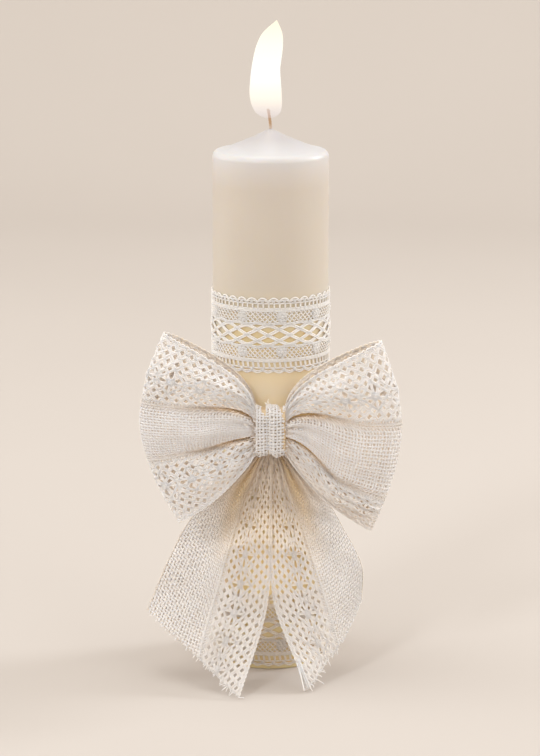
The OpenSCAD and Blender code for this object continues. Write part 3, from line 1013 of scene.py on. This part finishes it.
def flame_material(bottom, top):
    material, tree, shader = start_material("candle flame")
    tree.nodes.remove(shader)
    up = ranged(tree, axes(tree)["Z"], ("From Min", bottom), ("From Max", top))
    colour = ramp(tree, up, (0.0, (0.80, 0.72, 0.74)), (0.16, (0.96, 0.84, 0.72)),
                  (0.28, (1.0, 0.93, 0.78)), (0.45, (1.0, 0.98, 0.93)), (0.75, (1.0, 0.97, 0.82)),
                  (1.0, (0.98, 0.88, 0.66)))
    solid = ramp(tree, up, *((at, (grey, grey, grey)) for at, grey in (
        (0.0, 0.12), (0.1, 0.45), (0.24, 0.9), (0.4, 1))))
    glow = new_node(tree, "ShaderNodeEmission", ("Strength", 1.15))
    tree.links.new(colour, glow.inputs["Color"])
    clear = tree.nodes.new("ShaderNodeBsdfTransparent")
    blend = tree.nodes.new("ShaderNodeMixShader")
    tree.links.new(solid, blend.inputs[0])
    tree.links.new(clear.outputs[0], blend.inputs[1])
    tree.links.new(glow.outputs[0], blend.inputs[2])
    tree.links.new(blend.outputs[0], tree.nodes["Material Output"].inputs[0])
    return material


def flame_body():
    low, high = span("flame")
    steps, sides = 60, 48
    share = np.linspace(0, 1, steps + 1) ** 1.5
    rows = spline([np.broadcast_to(r, (steps + 1, 2)) for r in FLAME], share) * FLAME_HALF_W
    foot = np.minimum(share / 0.07, 1)
    rows[:, 1] = np.maximum(rows[:, 1] * np.sqrt(foot * (2 - foot)), 0.15)
    z = low[2] + (high[2] - low[2]) * share
    turn = TAU * np.arange(sides) / sides
    points = column(
        rows[:, 0, None] + rows[:, 1, None] * np.cos(turn), rows[:, 1, None] * np.sin(turn),
        z[:, None] + 0 * turn).reshape(-1, 3)
    a = np.arange(sides)
    b = (a + 1) % sides
    k = np.arange(steps)[:, None] * sides
    quads = np.stack([k + a, k + b, k + sides + b, k + sides + a], axis=2).reshape(-1, 4)
    caps = np.stack([a[::-1], steps * sides + a])
    material = flame_material(float(low[2]) / 1000, float(high[2]) / 1000)
    flame = make_mesh("flame_body", points, quads, caps, None, material)
    for face in flame.data.polygons:
        face.use_smooth = True
    wear(flame, "candle", "flame")
    flame.visible_shadow = False
    lamp = bpy.data.lights.new("flame_light", "POINT")
    lamp.energy, lamp.color, lamp.shadow_soft_size = 0.006, (1, 0.9, 0.75), 0.006
    light = bpy.data.objects.new("flame_light", lamp)
    light.location = (-0.002, 0, 0.308)
    scene.collection.objects.link(light)


bands()
loops()
tails()
knot()
wick_braid()
flame_body()

FINISHES = {
    "candle_body": wax,
    "wick_foot_plate": plain("tinplate", (0.55, 0.54, 0.52), (0.72, 0.71, 0.69), 300, 0.32, 1.0),
    "upper_band_tape": plain("clear tape", (0.80, 0.75, 0.64), (0.86, 0.82, 0.72), 120, 0.3),
    "bow_glue_pad": plain("hot glue", (0.78, 0.66, 0.42), (0.85, 0.75, 0.52), 150, 0.25),
    # the gathered centre's brown is painted shade, seen through the lace in the bow's creases
    "bow_gathered_centre": plain("gathers", (0.38, 0.24, 0.11), (0.72, 0.56, 0.36), 90, 0.9,
                                 0.0, (0.3, 2.0, 14.0)),
    "bow_binding_thread": plain("binding thread", (0.80, 0.76, 0.70), (0.92, 0.89, 0.84), 900, 0.7),
}
FINISHES["lower_band_tape"] = FINISHES["upper_band_tape"]
for name, finish in FINISHES.items():
    nodes[name].data.materials.clear()
    nodes[name].data.materials.append(finish)


# ---- Stage and lights ----

DAYLIGHT = (0.94, 0.97, 1.0)


def stage():
    """Sheet of paper that runs back from the table and curves up into the backdrop."""
    bend_y, bend_r = 1.4, 0.6
    profile = [(-5.0, 0.0), (bend_y, 0.0)]
    profile += [(bend_y + bend_r * math.sin(a), bend_r - bend_r * math.cos(a))
                for a in np.linspace(0.1, math.pi / 2, 14)]
    profile += [(2.0, 3.0)]
    points = np.array([[x * 1000, y * 1000, z * 1000] for y, z in profile for x in (-5, 5)])
    quads = np.array([[2 * i, 2 * i + 1, 2 * i + 3, 2 * i + 2] for i in range(len(profile) - 1)])
    material, tree, shader = start_material("cream paper")
    colour = ramp(tree, noise(tree, 3), (0.3, (0.53, 0.479, 0.436)), (0.7, (0.54, 0.489, 0.446)))
    tree.links.new(colour, shader.inputs["Base Color"])
    shader.inputs["Roughness"].default_value = 0.8
    shader.inputs["Specular IOR Level"].default_value = 0.2
    floor = make_mesh("paper_sweep", points, quads, np.zeros((0, 0), int), None, material)


def area_light(name, place, aim, size, power, colour):
    data = bpy.data.lights.new(name, "AREA")
    data.shape, data.size, data.energy, data.color = "DISK", size, power, colour
    light = bpy.data.objects.new(name, data)
    light.location = place
    light.rotation_euler = (Vector(aim) - Vector(place)).to_track_quat("-Z", "Y").to_euler()
    light.visible_camera = False
    scene.collection.objects.link(light)


def room():
    """Surroundings: cream in front and behind, brighter to the sides, dimmer to the camera."""
    world = bpy.data.worlds.new("room")
    world.use_nodes = True
    tree = world.node_tree
    background = tree.nodes["Background"]
    place = axes(tree, "Generated")
    back = ranged(tree, place["Y"], ("From Min", -1.0), ("From Max", 1.0))
    colour = ramp(tree, back, (0.0, (0.74, 0.66, 0.57)), (0.22, (0.82, 0.74, 0.64)),
                  (0.5, (1.0, 0.94, 0.865)), (1.0, (0.9, 0.84, 0.76)))
    tree.links.new(colour, background.inputs[0])
    side = tree.nodes.new("ShaderNodeMath")
    side.operation = "ABSOLUTE"
    tree.links.new(place["X"], side.inputs[0])
    strength = ranged(tree, side.outputs[0], ("To Min", 0.69), ("To Max", 1.38))
    seen = new_node(tree, "ShaderNodeMix", ("B", 0.74))
    is_camera = tree.nodes.new("ShaderNodeLightPath").outputs["Is Camera Ray"]
    tree.links.new(is_camera, seen.inputs["Factor"])
    tree.links.new(strength, seen.inputs["A"])
    tree.links.new(seen.outputs["Result"], background.inputs[1])
    scene.world = world


stage()
area_light("right_softbox", (1.5, 0.55, 1.0), (0, 0, 0.12), 0.45, 15, DAYLIGHT)
area_light("left_softbox", (-0.9, -1.5, 1.3), (0, 0, 0.12), 0.5, 12.5, DAYLIGHT)
area_light("front_fill", (1.2, -1.3, 0.8), (0, 0, 0.1), 1.0, 4, (0.98, 0.98, 1.0))
area_light("left_rim", (-1.4, 0.5, 0.7), (0, 0, 0.15), 0.9, 5, DAYLIGHT)
area_light("backdrop_softbox", (-0.3, 0.3, 2.3), (-0.2, 1.8, 0.2), 1.6, 17, (1, 0.985, 0.96))

# daylight that comes through the cloth, into each loop and behind the tails
for way in (-1, 1):
    middle = Vector((way * 0.036, (knot_y - LOOP_FORWARD) / 1000, knot_z / 1000))
    area_light(f"loop_glow_{way}", middle, middle + Vector((0, 1, 0)), 0.05, 0.003, (1, 0.86, 0.68))
area_light("tail_glow", (0, -0.038, 0.06), (0, 0, 0.06), 0.055, 0.002, (1, 0.86, 0.62))
room()
